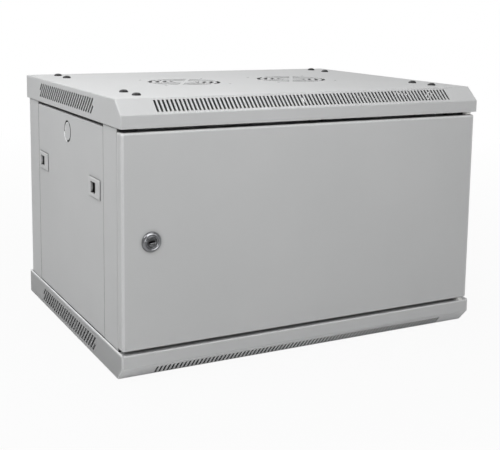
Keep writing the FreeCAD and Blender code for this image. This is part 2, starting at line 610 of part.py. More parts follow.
def make_door():
    """The door panel, its stiffeners and hinge brackets, and the lower hinge pin."""
    outer = block(DOOR_X0, DOOR_X1, FRONT, DOOR_BACK, DOOR_Z0, DOOR_Z1)
    front_edges = [e for e in outer.Edges if all(abs(v.Y - FRONT) < 0.01 for v in e.Vertexes)]
    side_edges = [e for e in outer.Edges if abs(e.Vertexes[0].Y - e.Vertexes[-1].Y) > 1]
    outer = outer.makeFillet(DOOR_FOLD_RADIUS, front_edges + side_edges)
    inner = block(DOOR_X0 + SHEET, DOOR_X1 - SHEET, FRONT + SHEET, DOOR_BACK + 5,
                  DOOR_Z0 + SHEET, DOOR_Z1 - SHEET)
    tray = outer.cut(inner)
    tray = tray.cut(block(DOOR_X1 - SHEET * 2, DOOR_X1 + 1, FRONT + DOOR_HINGE_FLANGE, DOOR_BACK + 1,
                          DOOR_Z0 - 1, DOOR_Z1 + 1))
    tray = tray.cut(rod(LOCK_BODY_RADIUS + LOCK_FIT, vec(LOCK_X, FRONT - 5, LOCK_Z),
                        vec(LOCK_X, FRONT + 5, LOCK_Z)))
    tray = tray.cut(rod(PIN_RADIUS + PIN_FIT, vec(HINGE_X, HINGE_Y, DOOR_Z1 - 2 * SHEET),
                        vec(HINGE_X, HINGE_Y, DOOR_Z1 + 1)))
    tray = tray.cut(rod(PIN_RADIUS + PIN_FIT, vec(HINGE_X, HINGE_Y, DOOR_Z0 - 1),
                        vec(HINGE_X, HINGE_Y, DOOR_Z0 + 2 * SHEET)))
    save("door_panel", tray.Solids[0])

    inside = FRONT + SHEET
    hats = []
    for offset in STIFFENER_OFFSETS:
        half = STIFFENER_WIDTH / 2
        foot = half + STIFFENER_FOOT
        z0 = DOOR_Z0 + SHEET
        up = vec(0, 0, DOOR_Z1 - DOOR_Z0 - 2 * SHEET)
        outline = [
            vec(offset - foot, inside, z0),
            vec(offset - half, inside, z0),
            vec(offset - half, inside + STIFFENER_DEPTH - SHEET, z0),
            vec(offset + half, inside + STIFFENER_DEPTH - SHEET, z0),
            vec(offset + half, inside, z0),
            vec(offset + foot, inside, z0),
            vec(offset + foot, inside + SHEET, z0),
            vec(offset + half + SHEET, inside + SHEET, z0),
            vec(offset + half + SHEET, inside + STIFFENER_DEPTH, z0),
            vec(offset - half - SHEET, inside + STIFFENER_DEPTH, z0),
            vec(offset - half - SHEET, inside + SHEET, z0),
            vec(offset - foot, inside + SHEET, z0),
        ]
        hats.append(prism(outline, up))
    save("door_stiffeners", *hats)

    for name, edge_z, way in (("top", DOOR_Z1 - SHEET, -1), ("bottom", DOOR_Z0 + SHEET, 1)):
        x0 = HINGE_X - BRACKET_WIDTH / 2
        x1 = DOOR_X1 - SHEET
        far = edge_z + way * BRACKET_HEIGHT
        plate = block(x0, x1, inside, inside + FRAME_SHEET, edge_z, far)
        ear = block(x0, x1, inside, DOOR_BACK - 1, far, far - way * FRAME_SHEET)
        bracket = plate.fuse(ear).removeSplitter()
        bracket = bracket.cut(rod(PIN_RADIUS + PIN_FIT, vec(HINGE_X, HINGE_Y, far - 5),
                                  vec(HINGE_X, HINGE_Y, far + 5)))
        save("hinge_bracket_" + name, bracket)


def make_hinge_pins():
    """The fixed lower pin, the sprung upper pin with its spring, and the bushes in the covers.

    The coil spring is drawn as a sleeve of its outer size.
    """
    def at(z):
        return vec(HINGE_X, HINGE_Y, z)
    base_flange = SKIRT
    roof_flange = HEIGHT - SKIRT
    lower = rod(PIN_RADIUS, at(base_flange - SHEET - 2), at(DOOR_Z0 + SHEET + BRACKET_HEIGHT + 2))
    spacer = rod(BUSH_RADIUS + 0.5, at(base_flange + BUSH_FLANGE + 0.3), at(DOOR_Z0))
    save("hinge_pin_bottom", lower.fuse(spacer))

    ear = DOOR_Z1 - SHEET - BRACKET_HEIGHT
    collar = DOOR_Z1 - 10.0
    tip = DOOR_Z1 + PIN_TRAVEL - 0.5
    upper = rod(PIN_RADIUS, at(ear - 9.0), at(tip))
    ring = rod(BUSH_RADIUS, at(collar), at(collar + 2.0))
    lever = block(HINGE_X - PIN_LEVER, HINGE_X, HINGE_Y - 2, HINGE_Y + 2, ear - 9.0, ear - 5.0)
    save("hinge_pin_top", upper.fuse([ring, lever]))

    foot = ear + FRAME_SHEET
    spring = rod(PIN_RADIUS + SPRING_GAP + SPRING_WIRE, at(foot), at(collar))
    save("hinge_spring", spring.cut(rod(PIN_RADIUS + SPRING_GAP, at(foot - 1), at(collar + 1))))

    top = rod(BUSH_FLANGE_RADIUS, at(roof_flange - BUSH_FLANGE), at(roof_flange))
    top = top.fuse(rod(BUSH_RADIUS, at(roof_flange), at(roof_flange + SHEET + 3)))
    top = top.cut(rod(PIN_RADIUS + PIN_FIT, at(roof_flange - 5), at(roof_flange + 10)))
    save("hinge_bush_top", top)
    low = rod(BUSH_FLANGE_RADIUS, at(base_flange), at(base_flange + BUSH_FLANGE))
    low = low.fuse(rod(BUSH_RADIUS, at(base_flange - SHEET - 3), at(base_flange)))
    low = low.cut(rod(PIN_RADIUS + PIN_FIT, at(base_flange - 10), at(base_flange + 5)))
    save("hinge_bush_bottom", low)


def make_lock():
    """The cam lock: housing and nut in the door, and the barrel, cam and screw that turn."""
    def at(y):
        return vec(LOCK_X, y, LOCK_Z)
    face = FRONT - LOCK_COLLAR_HEIGHT
    end = FRONT + LOCK_LENGTH
    bore = BARREL_RADIUS + BARREL_FIT
    rim = LOCK_COLLAR_RADIUS
    outline = [
        vec(bore, end, 0),
        vec(bore, face, 0),
        vec(rim - LOCK_COLLAR_BEVEL, face, 0),
        vec(rim, face + LOCK_COLLAR_BEVEL, 0),
        vec(rim, FRONT, 0),
        vec(LOCK_BODY_RADIUS, FRONT, 0),
        vec(LOCK_BODY_RADIUS, end, 0),
    ]
    housing = Part.Face(Part.makePolygon(outline + outline[:1])).revolve(vec(0, 0, 0), vec(0, 1, 0), 360)
    housing.translate(vec(LOCK_X, 0, LOCK_Z))
    save("lock_housing", housing)
    nut = hexagon(LOCK_NUT_ACROSS, at(FRONT + SHEET), vec(0, LOCK_NUT_HEIGHT, 0))
    save("lock_nut", nut.cut(rod(LOCK_BODY_RADIUS + LOCK_FIT, at(FRONT), at(FRONT + 10))))

    cam_front = end + 0.3
    cam_back = cam_front + CAM_SHEET
    square = BARREL_RADIUS * 0.5
    barrel = rod(BARREL_RADIUS, at(face + 0.8), at(cam_front))
    tail = block(LOCK_X - square, LOCK_X + square, cam_front, cam_back, LOCK_Z - square, LOCK_Z + square)
    key = block(LOCK_X - KEY_SLOT_LENGTH / 2, LOCK_X + KEY_SLOT_LENGTH / 2, face - 1,
                face + KEY_SLOT_DEPTH, LOCK_Z - KEY_SLOT_WIDTH / 2, LOCK_Z + KEY_SLOT_WIDTH / 2)
    save("lock_barrel", barrel.fuse(tail).cut(key))
    arm = block(LOCK_X - CAM_WIDTH / 2, LOCK_X + CAM_WIDTH / 2, cam_front, cam_back,
                LOCK_Z - CAM_REACH, LOCK_Z)
    arm = arm.fuse(rod(CAM_WIDTH / 2 + 2, at(cam_front), at(cam_back)))
    hole = square + BARREL_FIT
    arm = arm.cut(block(LOCK_X - hole, LOCK_X + hole, cam_front - 1, cam_back + 1,
                        LOCK_Z - hole, LOCK_Z + hole))
    save("lock_cam", arm.removeSplitter())
    save("lock_cam_screw", hexagon(CLAMP_NUT_ACROSS, at(cam_back), vec(0, 2.5, 0)))


def latch_cut(centre):
    """Cutter for a latch body's window in the side panel."""
    return block(-PANEL_X - 5, -PANEL_X + 5, centre - LATCH_BODY_LENGTH / 2, centre + LATCH_BODY_LENGTH / 2,
                 LATCH_Z - LATCH_BODY_HEIGHT / 2, LATCH_Z + LATCH_BODY_HEIGHT / 2)


def latch_bezel(centre, way):
    """A latch housing: bevelled plate on the panel, and a box behind it that guides the slider."""
    outer, inner = tongue_x()
    half_y = BEZEL_LENGTH / 2
    half_z = BEZEL_HEIGHT / 2
    plate = block(-PANEL_X - BEZEL_PROUD, -PANEL_X, centre - half_y, centre + half_y,
                  LATCH_Z - half_z, LATCH_Z + half_z)
    rim = [e for e in plate.Edges if all(abs(v.X + PANEL_X + BEZEL_PROUD) < 0.01 for v in e.Vertexes)]
    plate = plate.makeChamfer(BEZEL_BEVEL, rim)
    half_y = LATCH_BODY_LENGTH / 2
    half_z = LATCH_BODY_HEIGHT / 2
    body = block(-PANEL_X, -PANEL_X + LATCH_BODY_DEPTH, centre - half_y, centre + half_y,
                 LATCH_Z - half_z, LATCH_Z + half_z)
    room = block(-PANEL_X + 1.5, -PANEL_X + LATCH_BODY_DEPTH + 1, centre - half_y + LATCH_WALL,
                 centre + half_y - LATCH_WALL, LATCH_Z - half_z + LATCH_WALL, LATCH_Z + half_z - LATCH_WALL)
    slot_y = FINGER_SLOT_LENGTH / 2
    slot_z = FINGER_SLOT_HEIGHT / 2
    middle = centre + FINGER_SLOT_SHIFT
    slot = block(-PANEL_X - 10, -PANEL_X + 3, middle - slot_y, middle + slot_y,
                 LATCH_Z - slot_z, LATCH_Z + slot_z)
    end = centre + way * half_y
    gate = block(-outer - SLIDER_FIT, -inner + 5, end - way * (LATCH_WALL + 1), end + way,
                 LATCH_Z - TONGUE_HEIGHT / 2 - SLIDER_FIT, LATCH_Z + TONGUE_HEIGHT / 2 + SLIDER_FIT)
    return plate.fuse(body).removeSplitter().cut(room).cut(slot).cut(gate)


def latch_slider(centre, way):
    """A latch slider, drawn back: finger pad behind the slot, and the tongue towards the post."""
    outer, inner = tongue_x()
    fit = SLIDER_FIT
    near = centre + way * (LATCH_BODY_LENGTH / 2 - LATCH_WALL - fit - LATCH_TRAVEL)
    pad_z = LATCH_BODY_HEIGHT / 2 - LATCH_WALL - fit
    pad_x = -PANEL_X + 1.5 + 3.0
    pad = block(pad_x, -inner, near, near - way * SLIDER_LENGTH, LATCH_Z - pad_z, LATCH_Z + pad_z)
    post = FRONT_POST_BACK if way < 0 else REAR_POST_FRONT
    tip = post - way * (PANEL_GAP + 0.8)
    tongue = block(-outer, -inner, near - way, tip, LATCH_Z - TONGUE_HEIGHT / 2, LATCH_Z + TONGUE_HEIGHT / 2)
    ridge_y = centre + FINGER_SLOT_SHIFT
    ridge = block(pad_x - 2.0, pad_x, ridge_y - 1.2, ridge_y + 1.2, LATCH_Z - pad_z + 2, LATCH_Z + pad_z - 2)
    return pad.fuse([tongue, ridge]).removeSplitter()


def make_side_panels():
    outer, inner = tongue_x()
    latches = (("front", LATCH_FRONT_Y, -1), ("rear", LATCH_REAR_Y, 1))
    body = block(-PANEL_X, -PANEL_X + PANEL_FLANGE, PANEL_Y0, PANEL_Y1, PANEL_Z0, PANEL_Z1)
    corners = [e for e in body.Edges if all(abs(v.X + PANEL_X) < 0.01 for v in e.Vertexes)]
    body = body.makeFillet(SHEET, corners)
    hollow = block(-PANEL_X + SHEET, -PANEL_X + PANEL_FLANGE + 1, PANEL_Y0 + SHEET, PANEL_Y1 - SHEET,
                   PANEL_Z0 + SHEET, PANEL_Z1 - SHEET)
    tray = body.cut(hollow)
    tabs = []
    for y in panel_tab_places():
        x = -PANEL_X + PANEL_TAB_INSET
        tabs.append(block(x, x + SHEET, y - PANEL_TAB_WIDTH / 2, y + PANEL_TAB_WIDTH / 2,
                          PANEL_Z0 - PANEL_TAB_LENGTH, PANEL_Z0 + SHEET / 2))
    tray = tray.fuse(tabs).removeSplitter()
    cutters = []
    for name, centre, way in latches:
        cutters.append(latch_cut(centre))
        edge = PANEL_Y0 if way < 0 else PANEL_Y1
        cutters.append(latch_window(edge, TONGUE_HEIGHT / 2 + 1, outer + 1, inner - 1))
    middle = (PANEL_Y0 + PANEL_Y1) / 2
    start = vec(-PANEL_X - 1, middle, KNOCKOUT_Z)
    stop = vec(-PANEL_X + KNOCKOUT_DEPTH, middle, KNOCKOUT_Z)
    groove = rod(KNOCKOUT_RADIUS, start, stop).cut(rod(KNOCKOUT_RADIUS - KNOCKOUT_GROOVE, start, stop))
    cutters.append(groove)
    tray = tray.cut(Part.makeCompound(cutters))
    for side in SIDES:
        save("side_panel_" + side, on_side(tray.Solids[0], side))
        bezels = [on_side(latch_bezel(centre, way).Solids[0], side) for name, centre, way in latches]
        save("latch_housings_" + side, *bezels)
        for name, centre, way in latches:
            save("latch_slider_" + side + "_" + name, on_side(latch_slider(centre, way), side))


def main():
    os.makedirs("parts", exist_ok=True)
    inside = cabinet_interior()
    make_covers()
    make_roof_screws()
    make_posts(inside)
    make_corner_plates()
    make_depth_rails()
    make_rack_rails()
    make_rear()
    make_base_fittings()
    make_door()
    make_hinge_pins()
    make_lock()
    make_side_panels()


main()
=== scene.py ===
import bpy
import bmesh
import json
import math
from mathutils import Matrix, Vector


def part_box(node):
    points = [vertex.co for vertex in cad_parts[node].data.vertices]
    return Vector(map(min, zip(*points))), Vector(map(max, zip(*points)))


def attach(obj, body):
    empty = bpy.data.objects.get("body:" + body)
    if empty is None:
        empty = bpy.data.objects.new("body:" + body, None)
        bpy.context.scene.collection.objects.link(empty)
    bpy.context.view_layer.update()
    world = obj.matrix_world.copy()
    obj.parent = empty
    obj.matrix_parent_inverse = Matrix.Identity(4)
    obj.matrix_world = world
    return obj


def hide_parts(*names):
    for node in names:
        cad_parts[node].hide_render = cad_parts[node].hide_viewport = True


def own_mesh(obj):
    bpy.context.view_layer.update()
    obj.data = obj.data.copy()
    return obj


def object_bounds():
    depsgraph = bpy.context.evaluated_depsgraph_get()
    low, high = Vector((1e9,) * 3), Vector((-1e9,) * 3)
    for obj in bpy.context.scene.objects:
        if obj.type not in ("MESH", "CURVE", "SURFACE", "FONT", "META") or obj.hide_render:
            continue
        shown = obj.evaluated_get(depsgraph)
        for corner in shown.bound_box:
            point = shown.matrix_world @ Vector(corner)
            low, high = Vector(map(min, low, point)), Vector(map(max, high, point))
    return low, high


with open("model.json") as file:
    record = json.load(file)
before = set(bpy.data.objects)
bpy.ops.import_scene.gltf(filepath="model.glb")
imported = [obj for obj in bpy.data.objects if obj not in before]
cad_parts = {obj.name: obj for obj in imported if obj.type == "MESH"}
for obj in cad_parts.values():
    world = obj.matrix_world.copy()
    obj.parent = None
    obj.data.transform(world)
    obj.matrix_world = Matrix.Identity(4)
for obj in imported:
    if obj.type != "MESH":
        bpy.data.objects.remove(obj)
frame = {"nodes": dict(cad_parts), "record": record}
cad_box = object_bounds()
nodes = frame["nodes"]


# ---------------------------------------------------------------- materials
# All lengths are in metres, and all heights and places are in the shared frame.
COAT = (0.575, 0.580, 0.582)
COAT_DRIFT = (0.560, 0.566, 0.568)
COAT_ROUGHNESS = 0.46
COAT_SPECULAR = 0.42
# painted highlight: the pale tone painted along rounded bends, where light catches the folds
BEND_PAINTED_HIGHLIGHT = (0.95, 0.955, 0.96)
# painted shade: the near-black tone painted along the edges of punched holes, so the holes look wider and
# blacker
HOLE_PAINTED_SHADE = (0.03, 0.03, 0.03)
PLASTIC = (0.60, 0.605, 0.607)
PLASTIC_DRIFT = (0.59, 0.595, 0.597)
ZINC = (0.60, 0.62, 0.64)
ZINC_DRIFT = (0.50, 0.53, 0.56)

DRIFT_DETAIL = 3.0
DRIFT_STOPS = (0.35, 0.65)      # where the drift of a tone starts and ends in its noise
COAT_DRIFT_SCALE = 7.0
ZINC_DRIFT_SCALE = 160.0
GRAIN_DETAIL = 2.0
COAT_GRAIN_SCALE = 900.0
COAT_GRAIN_DEPTH = 0.000035

BEND_SAMPLES = 6
BEND_TURN = (0.985, 0.90)       # cosine of the rounded normal's turn, from flat to fully bent
BEND_GLOSS_ROUGHNESS = 0.16
# painted shade: ambient occlusion darkens the tone in cavities, creases, gaps and hole walls
CAVITY_SAMPLES = 8
CAVITY_OPEN = (0.58, 0.94)      # open share round a point, from darkest to fully lit
CAVITY_SHADE = (0.02, 1.0)

# the zones of a punched cover, where its edges are bends with a painted highlight and where they are holes
# edged with near-black painted shade
SLOT_ROW_END_X = 0.2795
FRONT_EDGE_Y = -0.200
FLANK_X = 0.2830
ROOF_TOP_Z = 0.3668
# how far the painted shade reaches from a hole's edge
HOLE_EDGE = 0.0007
FLANK_HOLE_EDGE = 0.0024
ROOF_TOP_LESS = 0.0005
# faces that look down past the first limit get painted light, and faces that look aside past the second get
# painted shade
FACES_DOWN = -0.4
FACES_ASIDE = 0.9


def new_material(name, color, roughness, metallic=0.0, specular=0.5):
    mat = bpy.data.materials.new(name)
    mat.use_nodes = True
    shader = mat.node_tree.nodes["Principled BSDF"]
    shader.inputs["Base Color"].default_value = (*color, 1.0)
    shader.inputs["Roughness"].default_value = roughness
    shader.inputs["Metallic"].default_value = metallic
    shader.inputs["Specular IOR Level"].default_value = specular
    return mat


def feed(tree, value, socket):
    """Gives an input its value, which is a socket, a colour or a number."""
    if isinstance(value, bpy.types.NodeSocket):
        tree.links.new(value, socket)
    elif isinstance(value, tuple):
        socket.default_value = (*value, 1.0)
    else:
        socket.default_value = value


def math_node(tree, operation, first, second):
    """A math node. Each input is a socket or a number."""
    node = tree.nodes.new("ShaderNodeMath")
    node.operation = operation
    feed(tree, first, node.inputs[0])
    feed(tree, second, node.inputs[1])
    return node.outputs["Value"]


def map_range(tree, value, source, target):
    """A value taken from one (from, to) range to another."""
    node = tree.nodes.new("ShaderNodeMapRange")
    for name, number in zip(("From Min", "From Max", "To Min", "To Max"), source + target):
        node.inputs[name].default_value = number
    tree.links.new(value, node.inputs["Value"])
    return node.outputs["Result"]


def mix_tones(tree, share, first, second):
    """A mix of two tones, each a socket or a colour. share is a socket, and 1 gives the second."""
    node = tree.nodes.new("ShaderNodeMix")
    node.data_type = "RGBA"
    tree.links.new(share, node.inputs[0])
    feed(tree, first, node.inputs[6])
    feed(tree, second, node.inputs[7])
    return node.outputs[2]


def split_axes(tree, vector):
    node = tree.nodes.new("ShaderNodeSeparateXYZ")
    tree.links.new(vector, node.inputs["Vector"])
    return node.outputs


def noise_over(tree, scale, detail):
    """Procedural noise in the coordinates of the object."""
    coords = tree.nodes.new("ShaderNodeTexCoord")
    noise = tree.nodes.new("ShaderNodeTexNoise")
    noise.inputs["Scale"].default_value = scale
    noise.inputs["Detail"].default_value = detail
    tree.links.new(coords.outputs["Object"], noise.inputs["Vector"])
    return noise.outputs["Fac"]


def drifting_tone(tree, color, other, scale):
    """A slow, faint drift between two tones."""
    ramp = tree.nodes.new("ShaderNodeValToRGB")
    for number, tone in enumerate((color, other)):
        ramp.color_ramp.elements[number].position = DRIFT_STOPS[number]
        ramp.color_ramp.elements[number].color = (*tone, 1.0)
    tree.links.new(noise_over(tree, scale, DRIFT_DETAIL), ramp.inputs["Fac"])
    return ramp.outputs["Color"]


def grain(tree, scale, depth):
    """The bump node of a fine grain, linked to the shader."""
    bump = tree.nodes.new("ShaderNodeBump")
    bump.inputs["Strength"].default_value = 1.0
    bump.inputs["Distance"].default_value = depth
    tree.links.new(noise_over(tree, scale, GRAIN_DETAIL), bump.inputs["Height"])
    tree.links.new(bump.outputs["Normal"], tree.nodes["Principled BSDF"].inputs["Normal"])
    return bump


def grained(name, color, roughness, scale, depth, metallic=0.0, specular=0.5):
    """A plain material with a fine grain."""
    mat = new_material(name, color, roughness, metallic, specular)
    grain(mat.node_tree, scale, depth)
    return mat


def cover_zones(tree, zones, bend, hole):
    """For a punched cover: a mask that is 1 at its bends and 0 at its holes, and the radius of its edges."""
    above, below, front_from, front_to = zones
    coords = tree.nodes.new("ShaderNodeTexCoord")
    axes = split_axes(tree, coords.outputs["Object"])
    height = axes["Z"]
    aside = math_node(tree, "ABSOLUTE", axes["X"], 0.0)
    outer = math_node(tree, "MAXIMUM", math_node(tree, "GREATER_THAN", height, above),
                      math_node(tree, "LESS_THAN", height, below))
    level = math_node(tree, "MULTIPLY", math_node(tree, "GREATER_THAN", height, front_from),
                      math_node(tree, "LESS_THAN", height, front_to))
    ends = math_node(tree, "GREATER_THAN", aside, SLOT_ROW_END_X)
    front = math_node(tree, "MULTIPLY", math_node(tree, "LESS_THAN", axes["Y"], FRONT_EDGE_Y),
                      math_node(tree, "MAXIMUM", level, ends))
    clear = math_node(tree, "MAXIMUM", outer, front)
    flank = math_node(tree, "GREATER_THAN", aside, FLANK_X)
    top = math_node(tree, "GREATER_THAN", height, ROOF_TOP_Z)
    punched = math_node(tree, "ADD", math_node(tree, "MULTIPLY", flank, FLANK_HOLE_EDGE - hole), hole)
    punched = math_node(tree, "SUBTRACT", punched, math_node(tree, "MULTIPLY", top, ROOF_TOP_LESS))
    wide = math_node(tree, "MULTIPLY", clear, bend)
    narrow = math_node(tree, "MULTIPLY", math_node(tree, "SUBTRACT", 1.0, clear), punched)
    return clear, math_node(tree, "ADD", wide, narrow)


def folded_sheet(mat, color, other, bend, cavity, zones=None, hole=HOLE_EDGE, lower=None, flanks=None):
    """Coated sheet: slow drift of the tone, rounded bends with pale lines of painted highlight, and painted
    shade in cavities.
    bend and cavity are radii. zones is for a punched cover: (above, below, front from, front to) are
    the heights clear of its slots. Outside them the edges are those of the punched holes, which get
    near-black painted shade to about hole from the edge. The last two arguments are the painted light
    of faces that look down and the painted shade of faces that look sideways, where those differ."""
    tree = mat.node_tree
    shader = tree.nodes["Principled BSDF"]
    geometry = tree.nodes.new("ShaderNodeNewGeometry")
    rounded = tree.nodes.new("ShaderNodeBevel")
    rounded.samples = BEND_SAMPLES
    rounded.inputs["Radius"].default_value = bend
    bump = grain(tree, COAT_GRAIN_SCALE, COAT_GRAIN_DEPTH)
    tree.links.new(rounded.outputs["Normal"], bump.inputs["Normal"])

    turned = tree.nodes.new("ShaderNodeVectorMath")
    turned.operation = "DOT_PRODUCT"
    tree.links.new(rounded.outputs["Normal"], turned.inputs[0])
    tree.links.new(geometry.outputs["Normal"], turned.inputs[1])
    at_bend = map_range(tree, turned.outputs["Value"], BEND_TURN, (0.0, 1.0))
    edge_painted_light_and_shade = BEND_PAINTED_HIGHLIGHT
    gloss = at_bend
    if zones:
        clear, radius = cover_zones(tree, zones, bend, hole)
        tree.links.new(radius, rounded.inputs["Radius"])
        edge_painted_light_and_shade = mix_tones(tree, clear, HOLE_PAINTED_SHADE, BEND_PAINTED_HIGHLIGHT)
        gloss = math_node(tree, "MULTIPLY", at_bend, clear)
    tree.links.new(gloss, shader.inputs["Coat Weight"])
    shader.inputs["Coat Roughness"].default_value = BEND_GLOSS_ROUGHNESS

    tone = drifting_tone(tree, color, other, COAT_DRIFT_SCALE)
    # painted light and shade: faces that look down take a paler tone, and faces that look sideways a darker
    # one
    if lower:
        facing = split_axes(tree, geometry.outputs["True Normal"])
        down = math_node(tree, "LESS_THAN", facing["Z"], FACES_DOWN)
        aside = math_node(tree, "GREATER_THAN", math_node(tree, "ABSOLUTE", facing["X"], 0.0), FACES_ASIDE)
        tone = mix_tones(tree, aside, mix_tones(tree, down, tone, lower), flanks)
    # painted highlight and shade at edges: a pale tone along bends, and near-black along punched hole edges
    tone = mix_tones(tree, at_bend, tone, edge_painted_light_and_shade)

    # painted shade: the tone is scaled down to near-black where nearby surfaces close in
    cavity_shade_ao = tree.nodes.new("ShaderNodeAmbientOcclusion")
    cavity_shade_ao.samples = CAVITY_SAMPLES
    cavity_shade_ao.only_local = zones is not None
    cavity_shade_ao.inputs["Distance"].default_value = cavity
    shade = tree.nodes.new("ShaderNodeVectorMath")
    shade.operation = "SCALE"
    tree.links.new(tone, shade.inputs[0])
    tree.links.new(map_range(tree, cavity_shade_ao.outputs["AO"], CAVITY_OPEN, CAVITY_SHADE), shade.inputs["Scale"])
    tree.links.new(shade.outputs["Vector"], shader.inputs["Base Color"])


def powder_coat(name, bend, cavity, **more):
    mat = new_material(name, COAT, COAT_ROUGHNESS, specular=COAT_SPECULAR)
    folded_sheet(mat, COAT, COAT_DRIFT, bend, cavity, **more)
    return mat


# each coat carries painted highlights along its bends and painted shade in its cavities; the two numbers are
# those radii
coat = powder_coat("grey_powder_coat", 0.0020, 0.008)
door_coat = powder_coat("door_powder_coat", 0.0042, 0.006)
roof_coat = powder_coat("roof_powder_coat", 0.0016, 0.005, zones=(1.0, 0.336, 0.336, 0.3508))
# the base cover's downward faces are painted lighter and its side faces darker, as painted light and shade
base_coat = powder_coat("base_powder_coat", 0.0034, 0.005, zones=(0.0285, 0.0025, 0.0175, 0.0285),
                        hole=0.0004, lower=(0.86, 0.865, 0.87), flanks=(0.410, 0.414, 0.416))
plastic = new_material("grey_plastic", PLASTIC, 0.38, specular=0.45)
# the latch plastic carries the same painted highlights on its edges and painted shade in its cavities
folded_sheet(plastic, PLASTIC, PLASTIC_DRIFT, 0.0009, 0.006)

slider = grained("slider_plastic", (0.11, 0.11, 0.112), 0.45, 1500.0, 0.00001)
nylon = grained("white_nylon", (0.82, 0.82, 0.80), 0.4, 1500.0, 0.00001)
black = grained("black_zinc", (0.008, 0.008, 0.009), 0.34, 2500.0, 0.000006, specular=0.32)
black.node_tree.nodes["Principled BSDF"].inputs["Coat Weight"].default_value = 0.35
black.node_tree.nodes["Principled BSDF"].inputs["Coat Roughness"].default_value = 0.06
zinc = grained("bright_zinc", ZINC, 0.30, 600.0, 0.00001, metallic=1.0)
zinc.node_tree.links.new(drifting_tone(zinc.node_tree, ZINC, ZINC_DRIFT, ZINC_DRIFT_SCALE),
                         zinc.node_tree.nodes["Principled BSDF"].inputs["Base Color"])
chrome = grained("chrome", (0.36, 0.365, 0.38), 0.15, 1800.0, 0.000003, metallic=1.0)
dull_chrome = grained("dull_chrome", (0.13, 0.132, 0.137), 0.24, 2500.0, 0.000004, metallic=1.0)
# painted highlight: the pale tone in the roof screws' cross recesses stands in for light caught there
recess_highlight_paint = new_material("recess_painted_highlight", (0.85, 0.85, 0.85), 0.4)
# painted shade: near-black for cross recesses, the keyway's walls and the knock-out slits, where shade falls
shade_black = new_material("painted_shade_black", (0.006, 0.006, 0.006), 0.6, specular=0.2)
rubber = grained("black_rubber", (0.018, 0.018, 0.018), 0.65, 1200.0, 0.00002, specular=0.3)
# painted highlight: a pale tone for the knock-out ridges and the base's rolled edges, where light catches
# them
highlight_pale = grained("edge_painted_highlight", (0.90, 0.905, 0.91), 0.40, 900.0, 0.00002)

SLOTS = {
    "grey_powder_coat": coat,
    "grey_plastic": plastic,
    "black_zinc": black,
    "bright_zinc": zinc,
    "chrome": chrome,
    "black_rubber": rubber,
}


# ---------------------------------------------------------------- dressing the CAD nodes
def paint(obj, mat):
    obj.data.materials.clear()
    obj.data.materials.append(mat)


SHEET_EDGE = 0.00025
SHARP_ANGLE = 35.0


def soften(obj):
    """Rounds the hard edges of a sheet a little, with a modifier only."""
    bevel = obj.modifiers.new("edge_round", "BEVEL")
    bevel.width = SHEET_EDGE
    bevel.segments = 2
    bevel.limit_method = "ANGLE"
    bevel.angle_limit = math.radians(SHARP_ANGLE)
    bevel.harden_normals = True
    bevel.use_clamp_overlap = True


for entry in frame["record"]["subparts"]:
    paint(nodes[entry["node"]], SLOTS[entry["material_slot"]])

paint(nodes["roof_cover"], roof_coat)
paint(nodes["base_cover"], base_coat)
paint(nodes["door_panel"], door_coat)
for name in ("hinge_bush_top", "hinge_bush_bottom"):
    paint(nodes[name], nylon)
for side in ("left", "right"):
    for end in ("front", "rear"):
        paint(nodes["latch_slider_%s_%s" % (side, end)], slider)

for name in ("door_panel", "side_panel_left", "side_panel_right", "rear_panel", "rear_entry_plate"):
    soften(nodes[name])


# ---------------------------------------------------------------- helpers for new pieces
def mesh_object(name, verts, faces, mat):
    mesh = bpy.data.meshes.new(name)
    mesh.from_pydata(verts, [], faces)
    mesh.update()
    obj = bpy.data.objects.new(name, mesh)
    bpy.context.scene.collection.objects.link(obj)
    obj.data.materials.append(mat)
    return obj


def lathe(name, profile, mat, steps, loop=False):
    """A closed turned piece round +Z. profile is a list of (radius, z), from axis to axis, or with loop
    the outline of a ring's section."""
    verts = []
    faces = []
    rings = []
    for radius, z in profile:
        if radius < 1e-9:
            rings.append([len(verts)])
            verts.append((0.0, 0.0, z))
        else:
            rings.append(list(range(len(verts), len(verts) + steps)))
            for step in range(steps):
                angle = 2 * math.pi * step / steps
                verts.append((radius * math.cos(angle), radius * math.sin(angle), z))
    if loop:
        rings.append(rings[0])
    for low, high in zip(rings, rings[1:]):
        for step in range(steps):
            after = (step + 1) % steps
            if len(low) == 1:
                faces.append((low[0], high[step], high[after]))
            elif len(high) == 1:
                faces.append((low[step], low[after], high[0]))
            else:
                faces.append((low[step], low[after], high[after], high[step]))
    obj = mesh_object(name, verts, faces, mat)
    for poly in obj.data.polygons:
        poly.use_smooth = True
    return obj


def place(obj, point, direction):
    """Turns a piece made along +Z to point along direction, and moves it to point."""
    turn = Vector((0, 0, 1)).rotation_difference(Vector(direction)).to_matrix().to_4x4()
    obj.data.transform(Matrix.Translation(Vector(point)) @ turn)


def face_outwards(obj):
    """Turns all faces of a closed piece outwards."""
    work = bmesh.new()
    work.from_mesh(obj.data)
    bmesh.ops.recalc_face_normals(work, faces=work.faces)
    work.to_mesh(obj.data)
    work.free()


def join(name, objs):
    """Joins several mesh objects into one."""
    bpy.ops.object.select_all(action="DESELECT")
    for obj in objs:
        obj.select_set(True)
    bpy.context.view_layer.objects.active = objs[0]
    bpy.ops.object.join()
    objs[0].name = name
    return objs[0]


def cut_with(obj, cutter):
    """Takes cutter away from obj for good."""
    knife = obj.modifiers.new("cut", "BOOLEAN")
    knife.operation = "DIFFERENCE"
    knife.solver = "EXACT"
    knife.object = cutter
    knife.material_mode = "TRANSFER"
    graph = bpy.context.evaluated_depsgraph_get()
    mesh = bpy.data.meshes.new_from_object(obj.evaluated_get(graph))
    obj.modifiers.clear()
    obj.data = mesh
    bpy.data.objects.remove(cutter)


